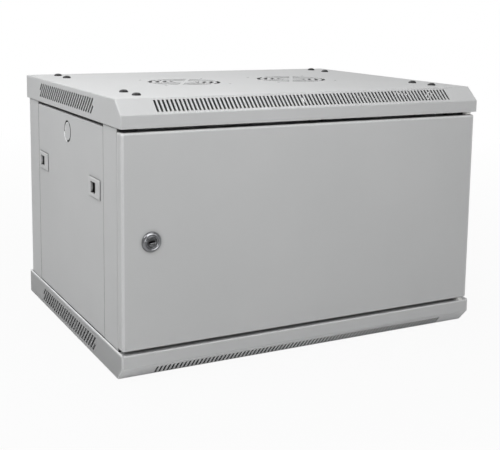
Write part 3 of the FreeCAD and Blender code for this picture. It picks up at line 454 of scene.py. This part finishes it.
RECESS_TAPER = 0.45
RECESS_ABOVE = 0.001
HEAD_STEPS = 40


def cross_cutter(reach, width, top, depth, mat):
    """A tapered cross, the shape of a cross recess, standing round +Z."""
    half = width / 2
    plan = [(half, half), (reach, half), (reach, -half), (half, -half), (half, -reach), (-half, -reach),
            (-half, -half), (-reach, -half), (-reach, half), (-half, half), (-half, reach), (half, reach)]
    plan.reverse()
    count = len(plan)
    verts = [(x, y, top + RECESS_ABOVE) for x, y in plan]
    verts += [(x * RECESS_TAPER, y * RECESS_TAPER, top - depth) for x, y in plan]
    faces = [tuple(reversed(range(count))), tuple(range(count, 2 * count))]
    for step in range(count):
        after = (step + 1) % count
        faces.append((step, after, count + after, count + step))
    return mesh_object("cross_cutter", verts, faces, mat)


def screw_head(profile, cross, mat, recess):
    """A turned screw head, made round +Z. cross is the (reach, width, depth) of its cross recess."""
    reach, width, depth = cross
    head = lathe("screw_head", profile, mat, HEAD_STEPS)
    top = max(z for radius, z in profile)
    cut_with(head, cross_cutter(reach, width, top, depth, recess))
    return head


def scatter(name, head, spots, body, covered=None):
    """Copies of one screw head at each (point, direction, turn), joined into one piece."""
    copies = []
    for point, direction, turn in spots:
        copy = bpy.data.objects.new(name, head.data.copy())
        bpy.context.scene.collection.objects.link(copy)
        copy.data.transform(Matrix.Rotation(turn, 4, "Z"))
        place(copy, point, direction)
        copies.append(copy)
    bpy.data.objects.remove(head)
    piece = join(name, copies)
    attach(piece, body)
    if covered:
        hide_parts(covered)
    return piece


# ---------------------------------------------------------------- stage, camera and light
FLOOR_HALF = 6
FLOOR_TONE = 0.47
FLOOR_DARK_INSET = (0.03, 0.04)     # no glow under the cabinet, from this far inside its outline
FLOOR_GLOW_FROM_TO = (0.45, 2.2)    # distance from the middle
FLOOR_GLOW = (0.94, 1.0)
WORLD_LIGHT = 0.30
WHITE = (1.0, 1.0, 1.0)


def make_floor():
    """A plain floor, white to the camera except under the cabinet."""
    high = cad_box[1]
    half = FLOOR_HALF
    floor = mesh_object("floor", [(-half, -half, 0), (half, -half, 0), (half, half, 0), (-half, half, 0)],
                        [(0, 1, 2, 3)], bpy.data.materials.new("floor_white"))
    mat = floor.data.materials[0]
    mat.use_nodes = True
    tree = mat.node_tree
    shader = tree.nodes["Principled BSDF"]
    shader.inputs["Base Color"].default_value = (FLOOR_TONE, FLOOR_TONE, FLOOR_TONE, 1.0)
    shader.inputs["Roughness"].default_value = 0.9
    shader.inputs["Specular IOR Level"].default_value = 0.0
    glow = tree.nodes.new("ShaderNodeEmission")
    glow.inputs["Strength"].default_value = 1.0
    path = tree.nodes.new("ShaderNodeLightPath")
    spot = tree.nodes.new("ShaderNodeTexCoord")
    axes = split_axes(tree, spot.outputs["Object"])
    beside = math_node(tree, "GREATER_THAN", math_node(tree, "ABSOLUTE", axes["X"], 0.0),
                       high.x - FLOOR_DARK_INSET[0])
    before = math_node(tree, "GREATER_THAN", math_node(tree, "ABSOLUTE", axes["Y"], 0.0),
                       high.y - FLOOR_DARK_INSET[1])
    uncovered = math_node(tree, "MAXIMUM", beside, before)
    reach = tree.nodes.new("ShaderNodeVectorMath")
    reach.operation = "LENGTH"
    tree.links.new(spot.outputs["Object"], reach.inputs[0])
    fade = map_range(tree, reach.outputs["Value"], FLOOR_GLOW_FROM_TO, FLOOR_GLOW)
    seen = math_node(tree, "MULTIPLY", path.outputs["Is Camera Ray"], uncovered)
    mix = tree.nodes.new("ShaderNodeMixShader")
    tree.links.new(math_node(tree, "MULTIPLY", seen, fade), mix.inputs["Fac"])
    tree.links.new(shader.outputs["BSDF"], mix.inputs[1])
    tree.links.new(glow.outputs["Emission"], mix.inputs[2])
    tree.links.new(mix.outputs["Shader"], tree.nodes["Material Output"].inputs["Surface"])


def make_world():
    """An even white surround, brighter to the camera than to the cabinet."""
    world = bpy.data.worlds.new("studio")
    bpy.context.scene.world = world
    world.use_nodes = True
    tree = world.node_tree
    path = tree.nodes.new("ShaderNodeLightPath")
    mix = tree.nodes.new("ShaderNodeMixShader")
    tree.links.new(path.outputs["Is Camera Ray"], mix.inputs["Fac"])
    lit = tree.nodes["Background"]
    shown = tree.nodes.new("ShaderNodeBackground")
    for number, (node, strength) in enumerate(((lit, WORLD_LIGHT), (shown, 1.0))):
        feed(tree, WHITE, node.inputs["Color"])
        node.inputs["Strength"].default_value = strength
        tree.links.new(node.outputs["Background"], mix.inputs[number + 1])
    tree.links.new(mix.outputs["Shader"], tree.nodes["World Output"].inputs["Surface"])


def area_light(name, place_at, aim_at, size, power):
    light = bpy.data.lights.new(name, "AREA")
    light.shape = "RECTANGLE"
    light.size = size[0]
    light.size_y = size[1]
    light.energy = power
    obj = bpy.data.objects.new(name, light)
    bpy.context.scene.collection.objects.link(obj)
    obj.location = place_at
    obj.rotation_euler = (Vector(aim_at) - Vector(place_at)).to_track_quat("-Z", "Y").to_euler()


# the camera, fitted to sixteen corners of the photograph; angles in radians
CAMERA_PLACE = (-0.6861, -1.3330, 0.4862)
CAMERA_YAW = 0.4844
CAMERA_PITCH = 0.1460
CAMERA_ROLL = 0.0136
CAMERA_LENS = 68.32
CAMERA_SHIFT_Y = -0.16


def make_camera():
    yaw, pitch, roll = CAMERA_YAW, CAMERA_PITCH, CAMERA_ROLL
    forward = Vector((math.sin(yaw) * math.cos(pitch), math.cos(yaw) * math.cos(pitch), -math.sin(pitch)))
    level = Vector((math.cos(yaw), -math.sin(yaw), 0.0))
    up = level.cross(forward)
    right = math.cos(roll) * level + math.sin(roll) * up
    up = -math.sin(roll) * level + math.cos(roll) * up
    camera = bpy.data.cameras.new("camera")
    camera.sensor_width = 36.0
    camera.lens = CAMERA_LENS
    camera.shift_y = CAMERA_SHIFT_Y
    camera.clip_end = 50.0
    obj = bpy.data.objects.new("camera", camera)
    bpy.context.scene.collection.objects.link(obj)
    axes = Matrix((right, up, -forward)).transposed()
    obj.matrix_world = Matrix.Translation(CAMERA_PLACE) @ axes.to_4x4()
    bpy.context.scene.camera = obj


# ---------------------------------------------------------------- screws
# Profiles are (radius, height) from the axis out and back. Each recess is turned by its own angle.
HEAD_RADIUS = 0.0062
CORNER_PAIR = 0.048     # between the two screws of a corner
PAN_HEAD = [(0.0, 0.0), (HEAD_RADIUS, 0.0), (HEAD_RADIUS, 0.0005), (0.0059, 0.0013), (0.0052, 0.0022),
            (0.0041, 0.0030), (0.0026, 0.0035), (0.0, 0.0037)]
PAN_CROSS = (0.0043, 0.0023, 0.0021)
FLUSH_HEAD = [(0.0, -0.0002), (0.0056, -0.0002), (0.0056, 0.00004), (0.0050, 0.00012), (0.0, 0.00014)]
FLUSH_CROSS = (0.0030, 0.0012, 0.0016)
LOW_HEAD = [(0.0, -0.0002), (0.0046, -0.0002), (0.0046, 0.0005), (0.0042, 0.0012), (0.0030, 0.0018),
            (0.0, 0.0020)]
LOW_CROSS = (0.0026, 0.0011, 0.0012)
REAR_SCREW_X = 0.26915
REAR_SCREW_Z = (0.055, 0.184, 0.313)
ENTRY_SCREW_INSET = 0.006

low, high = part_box("roof_screws")
screw_x = high.x - HEAD_RADIUS
screw_y = [high.y - HEAD_RADIUS, high.y - HEAD_RADIUS - CORNER_PAIR, low.y + HEAD_RADIUS + CORNER_PAIR,
           low.y + HEAD_RADIUS]
spots = []
for x in (-screw_x, screw_x):
    for number, y in enumerate(screw_y):
        spots.append(((x, y, low.z), (0, 0, 1), -0.48 + 0.12 * math.sin(5.0 * number + 9.0 * x)))
# the cross recesses of the roof screws are painted pale, a painted highlight
scatter("roof_screw_heads", screw_head(PAN_HEAD, PAN_CROSS, black, recess_highlight_paint), spots, "frame",
        "roof_screws")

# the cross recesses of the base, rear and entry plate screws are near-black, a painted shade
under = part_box("base_cover")[0].z
spots = []
for x in (-screw_x, screw_x):
    for number, y in enumerate(screw_y):
        spots.append(((x, y, under), (0, 0, -1), 0.3 + 0.8 * number + 2.0 * x))
scatter("base_screw_heads", screw_head(FLUSH_HEAD, FLUSH_CROSS, black, shade_black), spots, "frame")

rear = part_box("rear_panel")[1].y
spots = []
for x in (-REAR_SCREW_X, REAR_SCREW_X):
    for number, z in enumerate(REAR_SCREW_Z):
        spots.append(((x, rear, z), (0, 1, 0), 0.5 * number + 3.0 * x))
scatter("rear_panel_screw_heads", screw_head(LOW_HEAD, LOW_CROSS, black, shade_black), spots, "frame")

low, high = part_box("rear_entry_plate")
spots = []
for x in (low.x + ENTRY_SCREW_INSET, high.x - ENTRY_SCREW_INSET):
    for number, z in enumerate((low.z + ENTRY_SCREW_INSET, high.z - ENTRY_SCREW_INSET)):
        spots.append(((x, high.y, z), (0, 1, 0), 0.7 * number + 4.0 * x))
scatter("entry_plate_screw_heads", screw_head(LOW_HEAD, LOW_CROSS, black, shade_black), spots, "frame")


# ---------------------------------------------------------------- cam lock
door_low, door_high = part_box("door_panel")
low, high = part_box("lock_barrel")
LOCK_X = (low.x + high.x) / 2
LOCK_Z = (low.z + high.z) / 2
FACE = door_low.y
OUT = (0, -1, 0)
THREAD_TURNS = 19
THREAD_PITCH = 0.0010
THREAD_ROOT = 0.0088
THREAD_CREST = 0.0094
THREAD_END = -0.0214
FLAT_FACE = 0.9     # faces that look along the lock more than this stay flat

ring = [(0.0130, 0.0), (0.0131, 0.0006), (0.0129, 0.0012), (0.0122, 0.0020), (0.0108, 0.0031),
        (0.0102, 0.0034), (0.0096, 0.0033), (0.0091, 0.0025), (0.0088, 0.0018), (0.0084, 0.0017),
        (0.0081, 0.0024), (0.0078, 0.0027), (0.0074, 0.0027), (0.0072, 0.0024), (0.0072, -0.0219),
        (THREAD_ROOT, -0.0219)]
for turn in range(THREAD_TURNS):
    depth = THREAD_END + THREAD_PITCH * turn
    ring += [(THREAD_CREST, depth), (THREAD_ROOT, depth + THREAD_PITCH / 2)]
ring += [(THREAD_CREST, -0.0022), (THREAD_CREST, 0.0)]
housing = lathe("lock_ring", ring, chrome, 72, loop=True)
for poly in housing.data.polygons:
    poly.use_smooth = abs(poly.normal.z) < FLAT_FACE
place(housing, (LOCK_X, FACE, LOCK_Z), OUT)
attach(housing, "door")
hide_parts("lock_housing")

barrel = [(0.0, -0.0248), (0.0068, -0.0248), (0.0070, -0.0240), (0.0070, 0.0022), (0.0067, 0.0027),
          (0.0060, 0.0028), (0.0052, 0.0025), (0.0040, 0.0018), (0.0036, 0.0017), (0.0, 0.0017)]
plug = lathe("lock_plug", barrel, dull_chrome, 64)
# the keyway's walls take the cutter's near-black, a painted shade
slot_corners = ((-0.0041, -0.0017), (0.0041, -0.0005), (0.0041, 0.0019), (-0.0041, 0.0007))
keyway = mesh_object("keyway", [(x, y, z) for z in (-0.008, 0.004) for x, y in slot_corners],
                     [(0, 3, 2, 1), (4, 5, 6, 7), (0, 1, 5, 4), (1, 2, 6, 5), (2, 3, 7, 6), (3, 0, 4, 7)],
                     shade_black)
cut_with(plug, keyway)
place(plug, (LOCK_X, FACE, LOCK_Z), OUT)
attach(plug, "lock_barrel")
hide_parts("lock_barrel")


# ---------------------------------------------------------------- knock-outs and base folds
ARC_STEPS = 28
SHOULDER = 0.7      # height of the strip's shoulders, as a share of its crown


def arc_strip(name, centre, radius, width, start, stop, depth, crown, mat):
    """A strip along an arc in the plane of a side panel. Angles are in degrees, 0 towards the front and 90
    up. It stands from depth to crown in front of the plane of centre, on the side where centre.x is."""
    side = math.copysign(1.0, centre.x)
    shoulder = depth + (crown - depth) * SHOULDER
    section = [(-0.5, depth), (-0.36, shoulder), (0.0, crown), (0.36, shoulder), (0.5, depth)]
    verts = []
    faces = []
    count = len(section)
    for step in range(ARC_STEPS + 1):
        angle = math.radians(start + (stop - start) * step / ARC_STEPS)
        for across, rise in section:
            reach = radius + across * width
            verts.append((centre.x + side * rise, centre.y - reach * math.cos(angle),
                          centre.z + reach * math.sin(angle)))
    for step in range(ARC_STEPS):
        for number in range(count):
            after = (number + 1) % count
            low, high = step * count, (step + 1) * count
            faces.append((low + number, low + after, high + after, high + number))
    faces.append(tuple(range(count)))
    faces.append(tuple(reversed(range(ARC_STEPS * count, (ARC_STEPS + 1) * count))))
    strip = mesh_object(name, verts, faces, mat)
    face_outwards(strip)
    return strip


KNOCKOUT_Z = 0.3015
# radius, width, and the angles that each arc runs between
SLIT_ARCS = ((0.0146, 0.0026, 84.0, 186.0), (0.0146, 0.0026, 56.0, -96.0))
SLIT_DEPTH, SLIT_CROWN = 0.00002, 0.00012
OUTER_RIDGE = (0.0160, 0.0018, 186.0, 262.0)
INNER_RIDGE = (0.0121, 0.0014, 84.0, 178.0)
RIDGE_DEPTH, OUTER_CROWN, INNER_CROWN = -0.0002, 0.0007, 0.0006
for side, sign in (("left", -1.0), ("right", 1.0)):
    low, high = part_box("side_panel_" + side)
    face = low.x if sign < 0 else high.x
    centre = Vector((face, (low.y + high.y) / 2, KNOCKOUT_Z))
    # the slits are not cut: they are thin strips of near-black painted shade laid on the panel
    slits = join("knockout_slits_" + side,
                 [arc_strip("slit", centre, *arc, SLIT_DEPTH, SLIT_CROWN, shade_black) for arc in SLIT_ARCS])
    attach(slits, "side_panel_" + side)
    # the ridges are raised strips painted pale, a painted highlight
    ridges = join("knockout_ridges_" + side, [
        arc_strip("ridge", centre, *OUTER_RIDGE, RIDGE_DEPTH, OUTER_CROWN, highlight_pale),
        arc_strip("ridge", centre, *INNER_RIDGE, RIDGE_DEPTH, INNER_CROWN, highlight_pale)])
    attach(ridges, "side_panel_" + side)

# the rolled upper edge of the base cover, outside the side panels, in a pale tone that is a painted highlight
ROLL_END = 0.0016
low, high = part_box("base_cover")
panel_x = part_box("side_panel_left")[0].x
for side, sign in (("left", -1.0), ("right", 1.0)):
    outer = high.x - 0.0001
    inner = -panel_x + 0.0002
    top = high.z + 0.0014
    section = [(outer, high.z - 0.0012), (outer, high.z + 0.0004), (outer - 0.0003, high.z + 0.0010),
               (outer - 0.0007, top), (inner, top), (inner, high.z - 0.0002),
               (inner + 0.0002, high.z - 0.0012)]
    verts = [(sign * x, y, z) for y in (low.y + ROLL_END, high.y - ROLL_END) for x, z in section]
    count = len(section)
    faces = [tuple(range(count)), tuple(reversed(range(count, 2 * count)))]
    faces += [(n, (n + 1) % count, count + (n + 1) % count, count + n) for n in range(count)]
    edge = mesh_object("base_rolled_edge_" + side, verts, faces, highlight_pale)
    face_outwards(edge)
    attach(edge, "frame")


# ---------------------------------------------------------------- hinge washers
low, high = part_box("hinge_bush_top")
hinge_x = (low.x + high.x) / 2
hinge_y = (low.y + high.y) / 2
WASHER_GAP = 0.0002
lower_bush_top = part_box("hinge_bush_bottom")[1].z
for name, start, stop in (
        ("hinge_washer_top", door_high.z + WASHER_GAP, low.z - WASHER_GAP),
        ("hinge_washer_bottom", lower_bush_top + WASHER_GAP, door_low.z - WASHER_GAP)):
    washer = lathe(name, [(0.0034, start), (0.0054, start), (0.0058, start + 0.0004), (0.0058, stop - 0.0004),
                          (0.0054, stop), (0.0034, stop)], nylon, HEAD_STEPS, loop=True)
    place(washer, (hinge_x, hinge_y, 0.0), (0, 0, 1))
    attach(washer, "door")


# ---------------------------------------------------------------- hinge spring
TURNS = 9.0
END_TURNS = 0.9     # turns at each end that lie flat
STEPS_PER_TURN = 28
WIRE = 0.00045
WIRE_SIDES = 8


def coil(name, centre_x, centre_y, low, high, mat):
    """A wound spring that fills the box from low to high."""
    reach = (high.x - low.x) / 2 - WIRE
    foot = low.z + WIRE
    rise = high.z - low.z - 2 * WIRE
    steps = int(TURNS * STEPS_PER_TURN)
    verts = []
    faces = []
    for step in range(steps + 1):
        share = step / steps
        angle = 2 * math.pi * TURNS * share
        outward = Vector((math.cos(angle), math.sin(angle), 0.0))
        climb = min(1.0, max(0.0, (share * TURNS - END_TURNS) / (TURNS - 2 * END_TURNS)))
        middle = Vector((centre_x, centre_y, foot + rise * climb)) + outward * reach
        for corner in range(WIRE_SIDES):
            around = 2 * math.pi * corner / WIRE_SIDES
            verts.append(middle + outward * (WIRE * math.cos(around))
                         + Vector((0, 0, WIRE * math.sin(around))))
    for step in range(steps):
        first, second = WIRE_SIDES * step, WIRE_SIDES * (step + 1)
        for corner in range(WIRE_SIDES):
            after = (corner + 1) % WIRE_SIDES
            faces.append((first + corner, first + after, second + after, second + corner))
    faces.append(tuple(range(WIRE_SIDES)))
    faces.append(tuple(reversed(range(WIRE_SIDES * steps, WIRE_SIDES * (steps + 1)))))
    wound = mesh_object(name, verts, faces, mat)
    face_outwards(wound)
    for poly in wound.data.polygons:
        poly.use_smooth = True
    return wound


low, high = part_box("hinge_spring")
spring = coil("hinge_spring_coil", hinge_x, hinge_y, low, high, zinc)
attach(spring, "door")
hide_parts("hinge_spring")
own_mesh(spring)


# ---------------------------------------------------------------- the picture
# name, place, aimed at, (width, height), watts
LIGHTS = (
    ("back", (0.2, 1.8, 1.9), (0.0, 0.0, 0.3), (2.0, 1.2), 18.0),
    ("top", (0.0, 0.0, 2.2), (0.0, 0.0, 0.3), (2.0, 2.0), 12.0),
    ("near_left", (-0.88, 0.0, 0.86), (-0.28, 0.0, 0.25), (0.9, 0.5), 4.7),
    ("low_left", (-1.9, 0.3, 0.5), (0.0, 0.0, 0.2), (1.2, 0.7), 1.5),
    ("near_front", (-0.25, -0.95, 0.98), (-0.1, -0.22, 0.2), (0.9, 0.5), 1.7),
    ("above_door", (-0.1, -0.75, 0.80), (0.0, -0.22, 0.2), (0.9, 0.4), 1.5),
    ("low_front", (-0.4, -1.7, 0.14), (0.0, -0.2, 0.05), (1.8, 0.2), 3.4),
    ("right", (1.8, -1.9, 1.4), (0.0, -0.1, 0.2), (1.2, 1.2), 5.0),
)
make_floor()
make_world()
make_camera()
for light in LIGHTS:
    area_light(*light)
bpy.context.scene.view_settings.view_transform = "Standard"
